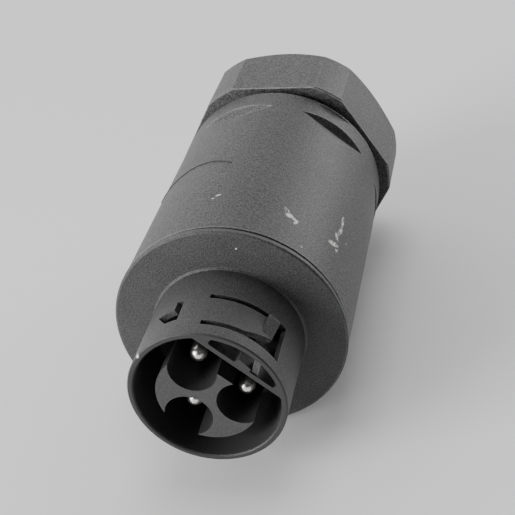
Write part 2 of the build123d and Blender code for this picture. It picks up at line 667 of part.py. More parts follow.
# Gland nut: a hexagon with its corners turned off and a domed rear end
with BuildPart() as gland_nut:
    with BuildSketch(front_view(NUT_FRONT)):
        RegularPolygon(BODY_R, 6, major_radius=False)
    extrude(amount=NUT_FRONT - NUT_END)
    with BuildSketch(side_view()) as envelope:
        with BuildLine():
            Polyline(
                (NUT_END, NUT_FACE_R),
                (NUT_END, 0),
                (NUT_FRONT, 0),
                (NUT_FRONT, NUT_CORNER_R - HOUSING_EDGE),
                (NUT_FRONT + HOUSING_EDGE, NUT_CORNER_R),
                (NUT_PRISM_END, NUT_CORNER_R),
                (NUT_SHOULDER, NUT_SHOULDER_R),
            )
            RadiusArc(
                (NUT_SHOULDER, NUT_SHOULDER_R),
                (NUT_END, NUT_FACE_R),
                NUT_DOME_R,
            )
        make_face()
    revolve(axis=AXIS, mode=Mode.INTERSECT)
    turned(
        [
            (NUT_FRONT - CUT_CLEAR, 0),
            (NUT_FRONT - CUT_CLEAR, NUT_THREAD_R),
            (NUT_THREAD_END, NUT_THREAD_R),
            (NUT_THREAD_END, NUT_CONE_START_R),
            (NUT_CONE_START, NUT_CONE_START_R),
            (NUT_CONE_END, NUT_CONE_END_R),
            (CABLE_HOLE_START, CABLE_HOLE_R),
            (NUT_END + CUT_CLEAR, CABLE_HOLE_R),
            (NUT_END + CUT_CLEAR, 0),
        ],
        mode=Mode.SUBTRACT,
    )
gland_nut.part.label = "gland_nut"
export_step(gland_nut.part, f"parts/{gland_nut.part.label}.step")
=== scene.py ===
import logging
import math
from dataclasses import dataclass
from enum import Enum

import bpy
from mathutils import Matrix, Vector


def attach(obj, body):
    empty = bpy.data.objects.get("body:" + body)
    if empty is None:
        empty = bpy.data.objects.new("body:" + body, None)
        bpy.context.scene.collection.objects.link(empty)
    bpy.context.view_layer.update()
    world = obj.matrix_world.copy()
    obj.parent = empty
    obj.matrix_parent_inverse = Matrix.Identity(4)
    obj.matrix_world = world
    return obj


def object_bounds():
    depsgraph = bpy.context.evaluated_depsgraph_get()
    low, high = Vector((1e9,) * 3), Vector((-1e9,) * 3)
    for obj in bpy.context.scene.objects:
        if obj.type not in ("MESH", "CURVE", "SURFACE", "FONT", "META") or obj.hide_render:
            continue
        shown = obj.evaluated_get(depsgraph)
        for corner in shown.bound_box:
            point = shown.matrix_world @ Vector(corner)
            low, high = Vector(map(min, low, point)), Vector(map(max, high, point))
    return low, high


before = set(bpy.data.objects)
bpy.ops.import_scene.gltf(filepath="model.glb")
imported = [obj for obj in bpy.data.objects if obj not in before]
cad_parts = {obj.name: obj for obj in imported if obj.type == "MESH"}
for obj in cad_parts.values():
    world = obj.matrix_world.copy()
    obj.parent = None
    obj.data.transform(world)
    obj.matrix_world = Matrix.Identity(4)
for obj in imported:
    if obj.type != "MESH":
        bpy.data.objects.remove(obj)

Socket = bpy.types.NodeSocket
Groups = dict[str, bpy.types.NodeTree]
Finishes = dict[str, bpy.types.Material]
Colour = tuple[float, float, float]

LOG = logging.getLogger("connector")
CAD_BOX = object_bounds()
MM = 0.001

# Where the part's measures start: station 0 is the sleeve's front rim, and the axis is at mid height
RIM_Y = CAD_BOX[0][1]
AXIS_Z = (CAD_BOX[0][2] + CAD_BOX[1][2]) / 2

# The photograph's camera, in the part's own frame, in metres
CAMERA_PLACE = Vector((0.04307, -0.15712, 0.12153))
CAMERA_FORWARD = Vector((-0.2253, 0.8073, -0.5455))
CAMERA_UP = Vector((-0.0100, 0.5579, 0.8298))
FOCAL_PIXELS = 1148.5
PHOTO_PIXELS = 515
SENSOR_MM = 36.0
CLIP_START = 0.005

# Blender's names for the types of trees and sockets
SHADER_TREE, GEOMETRY_TREE = "ShaderNodeTree", "GeometryNodeTree"
FLOAT, INTEGER, VECTOR = "NodeSocketFloat", "NodeSocketInt", "NodeSocketVector"
GEOMETRY, MATERIAL = "NodeSocketGeometry", "NodeSocketMaterial"

# Octaves and the strength of the finer ones, for the noises whose scale a finish sets
GRAIN_DETAIL = (1.0, 0.5)
MARK_DETAIL = (2.0, 0.6)

# The other noises, with a scale in cycles per metre before their octaves and strength
MOTTLE_NOISE = (60.0, 4.0, 0.55)
EDGE_BREAK_NOISE = (420.0, 3.0, 0.6)
STREAK_NOISE = (1900.0, 4.0, 0.7)

# Stretches of a value that a ramp turns into 0 to 1, and the widths of soft steps
MOTTLE_RANGE = (0.3, 0.7)
SPECKLE_RANGE = (0.36, 0.64)
EDGE_BREAK_RANGE = (0.2, 0.62)
BEND_RANGE = (0.995, 0.9)
OVAL_RANGE = (1.0, 0.45)
TEAR_BLUR = 0.09
PAINTED_SHADE_BLUR = 0.00008

# The clock angle of the key wall, and a wall height past every wall
KEY_CLOCK = 42.0
NO_WALL = 30.0

# How the finishes take their grain
SHADE_SHARE = 0.3
BEVEL_SAMPLES = 6
PLASTIC_SPREAD = (-0.06, 0.06)
PLASTIC_BUMP = 0.6
METAL_SPREAD = (-0.04, 0.06)
METAL_BUMP, MARK_DEPTH = 0.1, 0.00001
MARK_STRETCH = (0.05, 1.0, 0.05)

# A scuff ends this many times its larger half size from its centre
SCUFF_REACH = 1.2

# Turns that bring the ridge's profile upright on its helix, and the helix from +Z to +Y
PROFILE_TURN = (0.0, 0.0, math.pi / 2)
HELIX_TURN = (-math.pi / 2, 0.0, 0.0)
HELIX_STEPS = 48
BEAD_SIDES = 8


def along_axis(station: float) -> float:
    """Turn a station in mm into the part's y in metres."""
    return RIM_Y + station * MM


def outwards(clock: float) -> Vector:
    """Give the direction away from the axis at a clock angle in degrees."""
    return Vector((math.sin(math.radians(clock)), 0.0, math.cos(math.radians(clock))))


def on_surface(clock: float, station: float, radius: float) -> Vector:
    """Place a point by its clock angle in degrees, and its station and radius in mm."""
    turn, reach = math.radians(clock), radius * MM
    return Vector((reach * math.sin(turn), along_axis(station), AXIS_Z + reach * math.cos(turn)))


def grey(shade: float) -> Colour:
    """Give a neutral colour."""
    return (shade, shade, shade)


class Side(Enum):
    """Which way a node tree's socket points."""

    INPUT = "INPUT"
    OUTPUT = "OUTPUT"


@dataclass(frozen=True)
class Gate:
    """A node tree's own socket: its name, its type, its default value where it has one, and its side."""

    name: str
    kind: str
    value: object = None
    side: Side = Side.INPUT


def new_tree(name: str, kind: str, gates: tuple[Gate, ...]) -> bpy.types.NodeTree:
    """Make an empty node tree with named sockets.

    Args:
        name: the tree's name.
        kind: Blender's name for the type of tree.
        gates: the tree's sockets.

    Returns:
        The tree.
    """
    tree = bpy.data.node_groups.new(name, kind)
    for gate in gates:
        socket = tree.interface.new_socket(gate.name, in_out=gate.side.value, socket_type=gate.kind)
        if gate.value is not None:
            socket.default_value = gate.value
    return tree


class Wiring:
    """Adds nodes to a tree and links them, with a short call for each."""

    def __init__(self, tree: bpy.types.NodeTree) -> None:
        """Keep the tree that the nodes go into."""
        self.tree = tree

    def node(self, kind: str, **settings: object) -> bpy.types.Node:
        """Add a node.

        Args:
            kind: Blender's name for the node type.
            settings: attributes of the node to set.

        Returns:
            The node.
        """
        made = self.tree.nodes.new(kind)
        for name, value in settings.items():
            setattr(made, name, value)
        return made

    def feed(self, value: object, target: Socket) -> None:
        """Link a socket to an input, or set the input to a value.

        Args:
            value: the socket or the value.
            target: the input.
        """
        if isinstance(value, bpy.types.NodeSocket):
            self.tree.links.new(value, target)
        else:
            target.default_value = value

    def made(self, kind: str, output: str, inputs: dict[str, object], **settings: object) -> Socket:
        """Add a node, feed its inputs and take one of its outputs.

        Args:
            kind: Blender's name for the node type.
            output: the output's name.
            inputs: a socket or a value for each named input.
            settings: attributes of the node to set.

        Returns:
            The output's socket.
        """
        node = self.node(kind, **settings)
        for label, value in inputs.items():
            self.feed(value, node.inputs[label])
        return node.outputs[output]

    def enter(self) -> bpy.types.bpy_prop_collection:
        """Give the sockets that bring in the tree's own inputs."""
        return self.node("NodeGroupInput").outputs

    def leave(self, results: dict[str, Socket]) -> None:
        """Feed the tree's own outputs.

        Args:
            results: a socket for each named output.
        """
        end = self.node("NodeGroupOutput")
        for label, socket in results.items():
            self.feed(socket, end.inputs[label])

    def maths(self, operation: str, *values: object) -> Socket:
        """Add a Math node.

        Args:
            operation: the node's operation.
            values: the sockets or numbers that it takes.

        Returns:
            The result's socket.
        """
        made = self.node("ShaderNodeMath", operation=operation)
        for value, target in zip(values, made.inputs):
            self.feed(value, target)
        return made.outputs[0]

    def vector(self, operation: str, *values: object) -> Socket:
        """Add a Vector Math node.

        Args:
            operation: the node's operation.
            values: the sockets or vectors that it takes.

        Returns:
            The result's socket, a number for a dot product or a length and a vector otherwise.
        """
        made = self.node("ShaderNodeVectorMath", operation=operation)
        for value, target in zip(values, made.inputs):
            self.feed(value, target)
        return made.outputs["Value" if operation in ("DOT_PRODUCT", "LENGTH") else "Vector"]

    def about_axis(self, place: Socket, clock: float) -> tuple[Socket, Socket, Socket]:
        """Measure a place about the part's axis.

        Args:
            place: the Object coordinates.
            clock: the angle, in degrees, along which the height is measured.

        Returns:
            Sockets of the radius, of the height along the clock angle, and of y.
        """
        centred = self.vector("SUBTRACT", place, (0.0, 0.0, AXIS_Z))
        radius = self.vector("LENGTH", self.vector("MULTIPLY", centred, (1.0, 0.0, 1.0)))
        height = self.vector("DOT_PRODUCT", centred, outwards(clock))
        return radius, height, self.vector("DOT_PRODUCT", place, (0.0, 1.0, 0.0))

    def step(self, value: Socket, edge: Socket, blur: float) -> Socket:
        """Make a soft step that rises past an edge, or falls where the blur is negative.

        Args:
            value: the socket to test.
            edge: where the step starts.
            blur: how far the step takes.

        Returns:
            The result's socket, from 0 to 1.
        """
        run = self.maths("DIVIDE", self.maths("SUBTRACT", value, edge), blur)
        return self.made("ShaderNodeClamp", "Result", {"Value": run})

    def ramp(self, value: Socket, low: float, high: float) -> Socket:
        """Stretch a value so that low becomes 0 and high becomes 1, and clamp it."""
        inputs = {"Value": value, "From Min": low, "From Max": high}
        return self.made("ShaderNodeMapRange", "Result", inputs, clamp=True)

    def around(self, value: Socket, middle: float, spread: tuple[float, float]) -> Socket:
        """Turn a value from 0 to 1 into one from the lower to the upper end of a spread about a middle."""
        inputs = {"Value": value, "To Min": middle + spread[0], "To Max": middle + spread[1]}
        return self.made("ShaderNodeMapRange", "Result", inputs)

    def noise(self, place: Socket, scale: object, detail: float, rough: float) -> Socket:
        """Add a Noise Texture.

        Args:
            place: the coordinates.
            scale: a socket or a number.
            detail: how many octaves.
            rough: how strong the finer octaves are.

        Returns:
            The noise's socket.
        """
        inputs = {"Vector": place, "Scale": scale, "Detail": detail, "Roughness": rough}
        return self.made("ShaderNodeTexNoise", "Fac", inputs)

    def mix(self, share: Socket, under: object, over: Colour) -> Socket:
        """Lay a colour over another.

        Args:
            share: how much of the upper colour shows.
            under: the colour below, or its socket.
            over: the colour on top.

        Returns:
            The mixed colour's socket.
        """
        below = under if isinstance(under, bpy.types.NodeSocket) else (*under, 1.0)
        inputs = {"Factor": share, "A": below, "B": (*over, 1.0)}
        return self.made("ShaderNodeMix", "Result", inputs, data_type="RGBA")

    def bump(self, height: Socket, strength: float, distance: float) -> Socket:
        """Turn a height into a bumped normal."""
        inputs = {"Height": height, "Strength": strength, "Distance": distance}
        return self.made("ShaderNodeBump", "Normal", inputs)

    def use(self, group: bpy.types.NodeTree, inputs: dict[str, object]) -> bpy.types.bpy_prop_collection:
        """Add a shared group.

        Args:
            group: the group.
            inputs: a socket or a value for each named input.

        Returns:
            The outputs of the group's node.
        """
        node = self.node("ShaderNodeGroup", node_tree=group)
        for label, value in inputs.items():
            self.feed(value, node.inputs[label])
        return node.outputs

    def surface(self, colour: Socket, roughness: Socket, normal: Socket, metallic: float) -> None:
        """End a material with its shader.

        Args:
            colour: the base colour.
            roughness: the roughness.
            normal: the bumped normal.
            metallic: 1 for a metal and 0 for a plastic.
        """
        inputs = {"Base Color": colour, "Roughness": roughness, "Normal": normal, "Metallic": metallic}
        shader = self.made("ShaderNodeBsdfPrincipled", "BSDF", inputs)
        self.feed(shader, self.node("ShaderNodeOutputMaterial").inputs["Surface"])

    def sweep(self, path: Socket, profile: Socket) -> Socket:
        """Sweep a closed profile along a path, with closed ends."""
        inputs = {"Curve": path, "Profile Curve": profile, "Fill Caps": True}
        return self.made("GeometryNodeCurveToMesh", "Mesh", inputs)

    def close(self, mesh: Socket, material: Socket) -> None:
        """End a Geometry Nodes tree with real geometry and its material.

        Args:
            mesh: the mesh that the tree has made.
            material: its material.
        """
        real = self.made("GeometryNodeRealizeInstances", "Geometry", {"Geometry": mesh})
        inputs = {"Geometry": real, "Material": material}
        self.leave({"Geometry": self.made("GeometryNodeSetMaterial", "Geometry", inputs)})


def build_grain_group() -> bpy.types.NodeTree:
    """Spark-eroded mould grain: a fine height, a slow shade and a speckle.

    Returns:
        The group, with outputs Height, Shade and Speckle.
    """
    tree = new_tree(
        "moulded_grain",
        SHADER_TREE,
        (
            Gate("Vector", VECTOR),
            Gate("Grain Scale", FLOAT, 3000.0),
            Gate("Height", FLOAT, side=Side.OUTPUT),
            Gate("Shade", FLOAT, side=Side.OUTPUT),
            Gate("Speckle", FLOAT, side=Side.OUTPUT),
        ),
    )
    wires = Wiring(tree)
    inside = wires.enter()
    grain = wires.noise(inside["Vector"], inside["Grain Scale"], *GRAIN_DETAIL)
    mottle = wires.noise(inside["Vector"], *MOTTLE_NOISE)
    shade, speckle = wires.ramp(mottle, *MOTTLE_RANGE), wires.ramp(grain, *SPECKLE_RANGE)
    wires.leave({"Height": grain, "Shade": shade, "Speckle": speckle})
    return tree


def build_painted_shade_group() -> bpy.types.NodeTree:
    """Mask of painted shade: what lies inside a radius about the axis, between two stations, below the key
    wall.

    Returns:
        The group, with output Mask.
    """
    tree = new_tree(
        "painted_recess_shade",
        SHADER_TREE,
        (
            Gate("Vector", VECTOR),
            Gate("Radius", FLOAT, 0.01),
            Gate("From", FLOAT, -0.04),
            Gate("To", FLOAT, 0.0),
            Gate("Wall Height", FLOAT, 0.02),
            Gate("Mask", FLOAT, side=Side.OUTPUT),
        ),
    )
    wires = Wiring(tree)
    inside = wires.enter()
    radius, height, station = wires.about_axis(inside["Vector"], KEY_CLOCK)
    mask = wires.step(radius, inside["Radius"], -PAINTED_SHADE_BLUR)
    for value, edge, blur in (
        (station, "From", PAINTED_SHADE_BLUR),
        (station, "To", -PAINTED_SHADE_BLUR),
        (height, "Wall Height", -PAINTED_SHADE_BLUR),
    ):
        mask = wires.maths("MULTIPLY", mask, wires.step(value, inside[edge], blur))
    wires.leave({"Mask": mask})
    return tree


def build_edge_group() -> bpy.types.NodeTree:
    """Mask of the edges, hollow ones too, that take a lighter colour: partly handling wear, partly a
    painted highlight; broken up by a noise.

    Returns:
        The group, with output Mask.
    """
    tree = new_tree(
        "worn_and_highlit_edges",
        SHADER_TREE,
        (
            Gate("Vector", VECTOR),
            Gate("Width", FLOAT, 0.0003),
            Gate("Mask", FLOAT, side=Side.OUTPUT),
        ),
    )
    wires = Wiring(tree)
    inside = wires.enter()
    rounded = wires.made("ShaderNodeBevel", "Normal", {"Radius": inside["Width"]}, samples=BEVEL_SAMPLES)
    flat = wires.made("ShaderNodeNewGeometry", "Normal", {})
    bent = wires.ramp(wires.vector("DOT_PRODUCT", rounded, flat), *BEND_RANGE)
    kept = wires.ramp(wires.noise(inside["Vector"], *EDGE_BREAK_NOISE), *EDGE_BREAK_RANGE)
    wires.leave({"Mask": wires.maths("MULTIPLY", bent, kept)})
    return tree


def build_scuff_group() -> bpy.types.NodeTree:
    """Mask of one pale scuff: an oval patch on the surface, torn into streaks by a noise.

    Returns:
        The group, with output Mask.
    """
    tree = new_tree(
        "scuff_patch",
        SHADER_TREE,
        (
            Gate("Vector", VECTOR),
            Gate("Centre", VECTOR),
            Gate("Across", VECTOR),
            Gate("Along", VECTOR),
            Gate("Tear", FLOAT, 0.5),
            Gate("Reach", FLOAT, 0.002),
            Gate("Mask", FLOAT, side=Side.OUTPUT),
        ),
    )
    wires = Wiring(tree)
    inside = wires.enter()
    offset = wires.vector("SUBTRACT", inside["Vector"], inside["Centre"])
    squares = [
        wires.maths("POWER", wires.vector("DOT_PRODUCT", offset, inside[side]), 2.0)
        for side in ("Across", "Along")
    ]
    oval = wires.ramp(wires.maths("SQRT", wires.maths("ADD", *squares)), *OVAL_RANGE)
    torn = wires.step(wires.noise(inside["Vector"], *STREAK_NOISE), inside["Tear"], TEAR_BLUR)
    near = wires.maths("LESS_THAN", wires.vector("LENGTH", offset), inside["Reach"])
    wires.leave({"Mask": wires.maths("MULTIPLY", wires.maths("MULTIPLY", oval, torn), near)})
    return tree


@dataclass(frozen=True)
class Scuff:
    """A pale scuff on a round surface, or on a face square to the axis.

    Its clock angle and lean are in degrees, and its station, half width, half length and radius in mm.
    A lower tear leaves more of it whole.
    """

    clock: float
    station: float
    across: float
    along: float
    lean: float = 0.0
    tear: float = 0.47
    radius: float = 17.9
    on_face: bool = False

    def mask(self, wires: Wiring, group: bpy.types.NodeTree, place: Socket) -> Socket:
        """Add the scuff to a material.

        Args:
            wires: the material's wiring.
            group: the scuff group.
            place: the Object coordinates.

        Returns:
            The mask's socket.
        """
        turn, lean = math.radians(self.clock), math.radians(self.lean)
        tangent = Vector((math.cos(turn), 0.0, -math.sin(turn)))
        axis = outwards(self.clock) if self.on_face else Vector((0.0, 1.0, 0.0))
        across = tangent * math.cos(lean) + axis * math.sin(lean)
        along = axis * math.cos(lean) - tangent * math.sin(lean)
        inputs = {
            "Vector": place,
            "Centre": on_surface(self.clock, self.station, self.radius),
            "Across": across / (self.across * MM),
            "Along": along / (self.along * MM),
            "Tear": self.tear,
            "Reach": SCUFF_REACH * max(self.across, self.along) * MM,
        }
        return wires.use(group, inputs)["Mask"]


@dataclass(frozen=True)
class PaintedShade:
    """Painted shade in a recess or a gap of a moulding: radius, stations and key wall height in mm, and
    its dark colour.
    """

    radius: float
    start: float
    end: float
    shade: float
    wall_height: float = NO_WALL

    def mask(self, wires: Wiring, group: bpy.types.NodeTree, place: Socket) -> Socket:
        """Add the painted shade to a material.

        Args:
            wires: the material's wiring.
            group: the painted shade group.
            place: the Object coordinates.

        Returns:
            The mask's socket.
        """
        inputs = {
            "Vector": place,
            "Radius": self.radius * MM,
            "From": along_axis(self.start),
            "To": along_axis(self.end),
            "Wall Height": self.wall_height * MM,
        }
        return wires.use(group, inputs)["Mask"]


def new_material(name: str) -> tuple[bpy.types.Material, Wiring, Socket]:
    """Make a material with no nodes but its coordinates.

    Args:
        name: the material's name.

    Returns:
        The material, its wiring and the socket of the Object coordinates.
    """
    material = bpy.data.materials.new(name)
    material.use_nodes = True
    material.node_tree.nodes.clear()
    wires = Wiring(material.node_tree)
    return material, wires, wires.made("ShaderNodeTexCoord", "Object", {})


@dataclass(frozen=True)
class MouldedPlastic:
    """Black moulded plastic with a fine spark-eroded grain, scuffs, edges lightened partly as wear and
    partly as a painted highlight, and painted shade in its recesses and gaps.

    The shades are base colours, the grain is in cycles per metre, and the edges' width and the
    bump are in metres.
    """

    name: str
    dark: Colour
    light: Colour
    roughness: float = 0.5
    grain: float = 3600.0
    bump: float = 0.00011
    edge_width: float = 0.0
    edge_shade: float = 0.2
    painted_shades: tuple[PaintedShade, ...] = ()
    scuffs: tuple[Scuff, ...] = ()
    scuff_shade: Colour = (0.78, 0.78, 0.76)

    def colour(self, wires: Wiring, groups: Groups, place: Socket, share: Socket) -> Socket:
        """Build the base colour from the grain, the lightened edges, the painted shade and the scuffs.

        Args:
            wires: the material's wiring.
            groups: the shared node groups by name.
            place: the Object coordinates.
            share: how light the grain makes each place.

        Returns:
            The colour's socket.
        """
        result = wires.mix(share, self.dark, self.light)
        # Edges take a lighter colour: partly wear, partly a painted highlight where light catches them
        if self.edge_width:
            inputs = {"Vector": place, "Width": self.edge_width}
            edges = wires.use(groups["worn_and_highlit_edges"], inputs)["Mask"]
            result = wires.mix(edges, result, grey(self.edge_shade))
        # Painted shade: a darker colour laid where recesses and gaps lie in shade
        for painted_zone in self.painted_shades:
            mask = painted_zone.mask(wires, groups["painted_recess_shade"], place)
            result = wires.mix(mask, result, grey(painted_zone.shade))
        for scuff in self.scuffs:
            mask = scuff.mask(wires, groups["scuff_patch"], place)
            result = wires.mix(mask, result, self.scuff_shade)
        return result

    def build(self, groups: Groups) -> bpy.types.Material:
        """Make the material.

        Args:
            groups: the shared node groups by name.

        Returns:
            The material.
        """
        material, wires, place = new_material(self.name)
        grain = wires.use(groups["moulded_grain"], {"Vector": place, "Grain Scale": self.grain})
        mottle = wires.maths("MULTIPLY", grain["Shade"], SHADE_SHARE)
        speckle = wires.maths("MULTIPLY", grain["Speckle"], 1.0 - SHADE_SHARE)
        colour = self.colour(wires, groups, place, wires.maths("ADD", mottle, speckle))
        roughness = wires.around(grain["Shade"], self.roughness, PLASTIC_SPREAD)
        normal = wires.bump(grain["Height"], PLASTIC_BUMP, self.bump)
        wires.surface(colour, roughness, normal, 0.0)
        return material


@dataclass(frozen=True)
class PlatedMetal:
    """Turned and plated metal with fine turning marks, in cycles per metre along the part's axis."""

    name: str
    tint: Colour
    shadow: Colour
    roughness: float = 0.22
    marks: float = 9000.0

    def build(self, groups: Groups) -> bpy.types.Material:
        """Make the material.

        Args:
            groups: the shared node groups by name.

        Returns:
            The material.
        """
        material, wires, place = new_material(self.name)
        stretched = wires.made("ShaderNodeMapping", "Vector", {"Vector": place, "Scale": MARK_STRETCH})
        marks = wires.noise(stretched, self.marks, *MARK_DETAIL)
        grain = wires.use(groups["moulded_grain"], {"Vector": place})
        colour = wires.mix(grain["Shade"], self.shadow, self.tint)
        roughness = wires.around(marks, self.roughness, METAL_SPREAD)
        wires.surface(colour, roughness, wires.bump(marks, METAL_BUMP, MARK_DEPTH), 1.0)
        return material


def build_ridge_tree() -> bpy.types.NodeTree:
    """Geometry Nodes tree of a screw thread's ridge: a trapezium swept along a helix about +Y.

    Returns:
        The tree, with named inputs for the thread's sizes and its material.
    """
    tree = new_tree(
        "thread_ridge",
        GEOMETRY_TREE,
        (
            Gate("Radius", FLOAT, 0.01),
            Gate("Pitch", FLOAT, 0.0015),
            Gate("Turns", FLOAT, 5.0),
            Gate("Height", FLOAT, 0.0004),
            Gate("Outer Width", FLOAT, 0.0003),
            Gate("Inner Width", FLOAT, 0.001),
            Gate("Start", VECTOR),
            Gate("Steps", INTEGER, HELIX_STEPS),
            Gate("Material", MATERIAL),
            Gate("Geometry", GEOMETRY, side=Side.OUTPUT),
        ),
    )
    wires = Wiring(tree)
    inside = wires.enter()
    spiral = {
        "Resolution": inside["Steps"],
        "Rotations": inside["Turns"],
        "Start Radius": inside["Radius"],
        "End Radius": inside["Radius"],
        "Height": wires.maths("MULTIPLY", inside["Pitch"], inside["Turns"]),
    }
    helix = wires.made("GeometryNodeCurveSpiral", "Curve", spiral)
    level = wires.made("GeometryNodeSetCurveNormal", "Curve", {"Curve": helix}, mode="Z_UP")
    trapezium = {
        "Height": inside["Height"],
        "Bottom Width": inside["Inner Width"],
        "Top Width": inside["Outer Width"],
        "Offset": 0.0,
    }
    quadrilateral = "GeometryNodeCurvePrimitiveQuadrilateral"
    profile = wires.made(quadrilateral, "Curve", trapezium, mode="TRAPEZOID")
    upright = {"Geometry": profile, "Rotation": PROFILE_TURN}
    turned = wires.made("GeometryNodeTransform", "Geometry", upright)
    placing = {
        "Geometry": wires.sweep(level, turned),
        "Translation": inside["Start"],
        "Rotation": HELIX_TURN,
    }
    wires.close(wires.made("GeometryNodeTransform", "Geometry", placing), inside["Material"])
    return tree


def build_bead_tree() -> bpy.types.NodeTree:
    """Geometry Nodes tree of a fine bead that follows a path of points.

    Returns:
        The tree, with named inputs for the bead's sizes and its material.
    """
    tree = new_tree(
        "surface_bead",
        GEOMETRY_TREE,
        (
            Gate("Geometry", GEOMETRY),
            Gate("Radius", FLOAT, 0.0001),
            Gate("Sides", INTEGER, BEAD_SIDES),
            Gate("Material", MATERIAL),
            Gate("Geometry", GEOMETRY, side=Side.OUTPUT),
        ),
    )
    wires = Wiring(tree)
    inside = wires.enter()
    path = wires.made("GeometryNodeMeshToCurve", "Curve", {"Mesh": inside["Geometry"]})
    section = {"Resolution": inside["Sides"], "Radius": inside["Radius"]}
    circle = wires.made("GeometryNodeCurvePrimitiveCircle", "Curve", section)
    wires.close(wires.sweep(path, circle), inside["Material"])
    return tree


def grow(
    name: str, mesh: bpy.types.Mesh, tree: bpy.types.NodeTree, inputs: dict[str, object]
) -> bpy.types.Object:
    """Run a Geometry Nodes tree on a mesh and keep the result as a plain piece.

    Args:
        name: the piece's name.
        mesh: what the tree starts from.
        tree: the tree.
        inputs: the values of its named inputs.

    Returns:
        The piece, with its place in its mesh.
    """
    seed = bpy.data.objects.new(name + "_seed", mesh)
    bpy.context.scene.collection.objects.link(seed)
    modifier = seed.modifiers.new(tree.name, "NODES")
    modifier.node_group = tree
    sockets = {item.name: item.identifier for item in tree.interface.items_tree if item.in_out == "INPUT"}
    for label, value in inputs.items():
        modifier[sockets[label]] = value
    graph = bpy.context.evaluated_depsgraph_get()
    result = bpy.data.meshes.new_from_object(seed.evaluated_get(graph))
    seed.modifiers.remove(modifier)
    bpy.data.objects.remove(seed)
    result.name = name
    piece = bpy.data.objects.new(name, result)
    bpy.context.scene.collection.objects.link(piece)
    LOG.info("%s: %d faces", name, len(result.polygons))
    return piece


def dress(node: str, material: bpy.types.Material) -> None:
    """Give a CAD node a material.

    Args:
        node: the node's name.
        material: the material that takes every slot of its mesh.
    """
    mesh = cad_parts[node].data
    mesh.materials.clear()
    mesh.materials.append(material)
    LOG.info("%s: %s", node, material.name)


@dataclass(frozen=True)
class Softbox:
    """A square area light: its place in metres, its side in metres and its power in watts."""

    name: str
    place: tuple[float, float, float]
    size: float
    power: float

    def hang(self, aim: Vector) -> None:
        """Hang the light so that it faces a point.

        Args:
            aim: the point.
        """
        data = bpy.data.lights.new(self.name, "AREA")
        data.size = self.size
        data.energy = self.power
        lamp = bpy.data.objects.new(self.name, data)
        lamp.location = self.place
        lamp.rotation_euler = (aim - lamp.location).to_track_quat("-Z", "Y").to_euler()
        bpy.context.scene.collection.objects.link(lamp)


@dataclass(frozen=True)
class Tent:
    """How bright the light tent is in front, to the left, to the right, behind and above."""

    front: float
    left: float
    right: float
    behind: float
    above: float
    above_from: float = 0.3

    def glow(self, wires: Wiring, direction: bpy.types.bpy_prop_collection) -> Socket:
        """Add the tent's brightness to a world.

        Args:
            wires: the world's wiring.
            direction: the sockets of the direction's X, Y and Z.

        Returns:
            The brightness's socket.
        """
        light = wires.maths("MULTIPLY", wires.ramp(direction["Y"], 0.0, -1.0), self.front)
        for axis, low, high, power in (
            ("X", 0.0, -1.0, self.left),
            ("X", 0.0, 1.0, self.right),
            ("Y", 0.0, 1.0, self.behind),
            ("Z", self.above_from, 1.0, self.above),
        ):
            side = wires.maths("MULTIPLY", wires.ramp(direction[axis], low, high), power)
            light = wires.maths("ADD", light, side)
        return light


@dataclass
class Stage:
    """The camera, the pale floor, the tent and the soft lights."""

    lights: tuple[Softbox, ...]
    tent: Tent
    aim: Vector
    floor_size: float = 6.0
    floor_shade: float = 0.9
    floor_roughness: float = 0.8

    def camera(self) -> None:
        """Put the camera where the photograph was taken from."""
        forward = CAMERA_FORWARD.normalized()
        right = forward.cross(CAMERA_UP).normalized()
        up = right.cross(forward)
        data = bpy.data.cameras.new("photo_camera")
        data.sensor_width = SENSOR_MM
        data.lens = FOCAL_PIXELS / PHOTO_PIXELS * SENSOR_MM
        data.clip_start = CLIP_START
        eye = bpy.data.objects.new("photo_camera", data)
        turn = Matrix((right, up, -forward)).transposed().to_4x4()
        eye.matrix_world = Matrix.Translation(CAMERA_PLACE) @ turn
        bpy.context.scene.collection.objects.link(eye)
        bpy.context.scene.camera = eye

    def floor(self) -> None:
        """Lay the pale floor under the connector."""
        half = self.floor_size / 2
        mesh = bpy.data.meshes.new("floor")
        corners = [(-half, -half, 0), (half, -half, 0), (half, half, 0), (-half, half, 0)]
        mesh.from_pydata(corners, [], [(0, 1, 2, 3)])
        plane = bpy.data.objects.new("floor", mesh)
        bpy.context.scene.collection.objects.link(plane)
        material = bpy.data.materials.new("pale_floor")
        material.use_nodes = True
        shader = material.node_tree.nodes["Principled BSDF"]
        shader.inputs["Base Color"].default_value = (*grey(self.floor_shade), 1.0)
        shader.inputs["Roughness"].default_value = self.floor_roughness
        mesh.materials.append(material)

    def surroundings(self) -> None:
        """Set the world: a light tent with its own brightness for each side."""
        world = bpy.data.worlds.new("studio")
        world.use_nodes = True
        wires = Wiring(world.node_tree)
        parts = wires.node("ShaderNodeSeparateXYZ")
        wires.feed(wires.made("ShaderNodeTexCoord", "Generated", {}), parts.inputs["Vector"])
        background = world.node_tree.nodes["Background"]
        background.inputs["Color"].default_value = (*grey(1.0), 1.0)
        wires.feed(self.tent.glow(wires, parts.outputs), background.inputs["Strength"])
        bpy.context.scene.world = world

    def build(self) -> None:
        """Set the whole stage."""
        self.camera()
        self.floor()
        self.surroundings()
        for light in self.lights:
            light.hang(self.aim)


LIGHTS = (
    Softbox("key_left", (-0.52, -0.5, 0.22), 0.34, 7.0),
    Softbox("overhead", (0.0, 0.1, 0.8), 0.4, 1.9),
    Softbox("back_right", (0.36, 0.6, 0.25), 0.35, 1.4),
)
TENT = Tent(front=0.0, left=1.1, right=0.1, behind=1.3, above=0.0)
LIGHTS_AIM = Vector((0, -0.01, 0.02))

